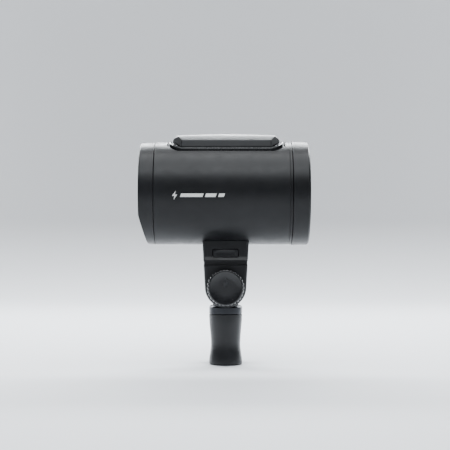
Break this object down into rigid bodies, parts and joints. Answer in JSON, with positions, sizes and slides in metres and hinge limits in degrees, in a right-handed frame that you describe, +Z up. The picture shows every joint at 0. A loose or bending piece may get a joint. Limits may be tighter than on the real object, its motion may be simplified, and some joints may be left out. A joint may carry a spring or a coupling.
{
  "type": "monolight strobe",
  "caption": "Round battery powered studio flash head with a flat frosted front, a drop-in battery on top, and a tilting stand adapter with a quick release foot.",
  "frame": {"origin": "centre of the bottom rim of the stand socket", "axes": "+Z up along the stand socket, +X the way the light shines, +Y to the left of the light; the tilt knob is on the -Y side"},
  "size_m": [0.131, 0.081, 0.1802],
  "materials": {
    "body_black": "satin black moulded plastic with a fine grain",
    "battery_black": "satin black moulded plastic",
    "inner_plastic": "dark grey moulded plastic",
    "rubber_black": "matt black rubber",
    "dial_black": "satin black plastic",
    "display_black": "polished dark window",
    "frosted_glass": "frosted glass",
    "clear_glass": "clear glass tube",
    "reflector_metal": "bright anodised aluminium",
    "steel_dark": "blackened steel, fine turned finish",
    "steel_satin": "satin steel",
    "bare_aluminium": "milled aluminium",
    "capacitor_sleeve": "shrink sleeve over an aluminium can",
    "cell_sleeve": "shrink sleeve over a metal can",
    "copper_winding": "lacquered copper winding",
    "contact_brass": "plain brass",
    "circuit_board": "solder resist on fibreglass",
    "led_phosphor": "yellow phosphor under clear resin",
    "white_insulator": "glazed white insulator",
    "adapter_black": "black glass filled plastic with a fine grain",
    "adapter_metal": "black anodised aluminium",
    "friction_fibre": "friction fibre",
    "print_white": "white pad print"
  },
  "bodies": {
    "stand_socket": {"socket_body": "adapter_metal", "socket_collar": "steel_dark", "friction_washer_near": "friction_fibre", "friction_washer_far": "friction_fibre"},
    "clamp_slider": {"clamp_pad": "contact_brass"},
    "clamp_knob": {"clamp_screw": "steel_satin", "clamp_knob": "adapter_black"},
    "tilt_bracket": {"bracket": "adapter_black", "pivot_bolt": "steel_satin", "thrust_washer": "steel_satin", "release_spring": "steel_satin"},
    "tilt_knob": {"tilt_knob": "adapter_black", "knob_insert": "contact_brass", "knob_cap": "adapter_black"},
    "release_button": {"release_button": "adapter_black", "latch_plate": "steel_satin"},
    "umbrella_slider": {"umbrella_tip": "contact_brass"},
    "umbrella_knob": {"umbrella_screw": "steel_satin", "umbrella_knob": "adapter_black"},
    "head": {"main_tube": "body_black", "rear_cap": "body_black", "front_ring": "body_black", "magnetic_ring": "steel_dark", "front_glass": "frosted_glass", "front_gasket": "rubber_black", "reflector": "reflector_metal", "flash_tube": "clear_glass", "tube_base": "white_insulator", "led_board": "circuit_board", "led_module": "led_phosphor", "heat_sink": "bare_aluminium", "trigger_coil": "copper_winding", "chassis": "inner_plastic", "capacitor_1": "capacitor_sleeve", "capacitor_2": "capacitor_sleeve", "power_board": "circuit_board", "radio_board": "circuit_board", "control_board": "circuit_board", "battery_bay": "inner_plastic", "bay_trim": "rubber_black", "bay_connector": "inner_plastic", "display_window": "display_black", "display_module": "inner_plastic", "dial_encoder": "inner_plastic", "mount_foot": "adapter_metal", "foot_plate": "steel_satin", "foot_screw_1": "steel_satin", "foot_screw_2": "steel_satin"},
    "battery": {"battery_cover": "battery_black", "battery_case": "battery_black", "battery_cell_1": "cell_sleeve", "battery_cell_2": "cell_sleeve", "battery_board": "circuit_board", "battery_contacts": "contact_brass"},
    "battery_latch": {"battery_latch": "battery_black"},
    "dial": {"dial": "dial_black"},
    "set_button": {"set_button": "dial_black"},
    "power_button": {"power_button": "rubber_black"},
    "test_button": {"test_button": "rubber_black"},
    "light_button": {"light_button": "rubber_black"}
  },
  "joints": [
    {"name": "tilt", "type": "hinge", "parent": "stand_socket", "child": "tilt_bracket", "pos_m": [0, 0, 0.0612], "axis": [0, 1, 0], "range_deg": [-90, 90]},
    {"name": "clamp_travel", "type": "slide", "parent": "stand_socket", "child": "clamp_slider", "axis": [0, 1, 0], "range_m": [0, 0.0045]},
    {"name": "clamp_turn", "type": "hinge", "parent": "clamp_slider", "child": "clamp_knob", "pos_m": [0, 0.02, 0.016], "axis": [0, 1, 0], "range_deg": [0, 1080]},
    {"name": "tilt_lock", "type": "hinge", "parent": "tilt_bracket", "child": "tilt_knob", "pos_m": [0, -0.023, 0.0612], "axis": [0, -1, 0], "range_deg": [0, 180]},
    {"name": "release_press", "type": "slide", "parent": "tilt_bracket", "child": "release_button", "axis": [0, 1, 0], "range_m": [0, 0.002], "stiffness_N_per_m": 800, "springref_m": -0.002, "deforming": ["release_spring"]},
    {"name": "umbrella_travel", "type": "slide", "parent": "tilt_bracket", "child": "umbrella_slider", "axis": [0, 1, 0], "range_m": [0, 0.0016]},
    {"name": "umbrella_turn", "type": "hinge", "parent": "umbrella_slider", "child": "umbrella_knob", "pos_m": [0, 0.02, 0.0846], "axis": [0, 1, 0], "range_deg": [0, 720]},
    {"name": "head_release", "type": "slide", "parent": "tilt_bracket", "child": "head", "axis": [1, 0, 0], "range_m": [0, 0.036]},
    {"name": "battery_lift", "type": "slide", "parent": "head", "child": "battery", "axis": [0, 0, 1], "range_m": [0, 0.03]},
    {"name": "latch_press", "type": "slide", "parent": "battery", "child": "battery_latch", "axis": [1, 0, 0], "range_m": [0, 0.0015], "stiffness_N_per_m": 600, "springref_m": -0.001},
    {"name": "dial_turn", "type": "hinge", "parent": "head", "child": "dial", "pos_m": [-0.0645, 0, 0.1275], "axis": [-1, 0, 0], "continuous": true},
    {"name": "set_press", "type": "slide", "parent": "head", "child": "set_button", "axis": [1, 0, 0], "range_m": [0, 0.0006], "stiffness_N_per_m": 1200, "springref_m": -0.0005},
    {"name": "power_press", "type": "slide", "parent": "head", "child": "power_button", "axis": [0.9681, 0, 0.2504], "range_m": [0, 0.0008], "stiffness_N_per_m": 1200, "springref_m": -0.0005},
    {"name": "test_press", "type": "slide", "parent": "head", "child": "test_button", "axis": [0.9681, 0, 0.2504], "range_m": [0, 0.0008], "stiffness_N_per_m": 1200, "springref_m": -0.0005},
    {"name": "light_press", "type": "slide", "parent": "head", "child": "light_button", "axis": [0.9681, 0, 0.2504], "range_m": [0, 0.0008], "stiffness_N_per_m": 1200, "springref_m": -0.0005}
  ],
  "couplings": [
    {"joint": "clamp_turn", "follows": "clamp_travel", "rad_per_m": 4188.7},
    {"joint": "umbrella_turn", "follows": "umbrella_travel", "rad_per_m": 7853.9}
  ]
}
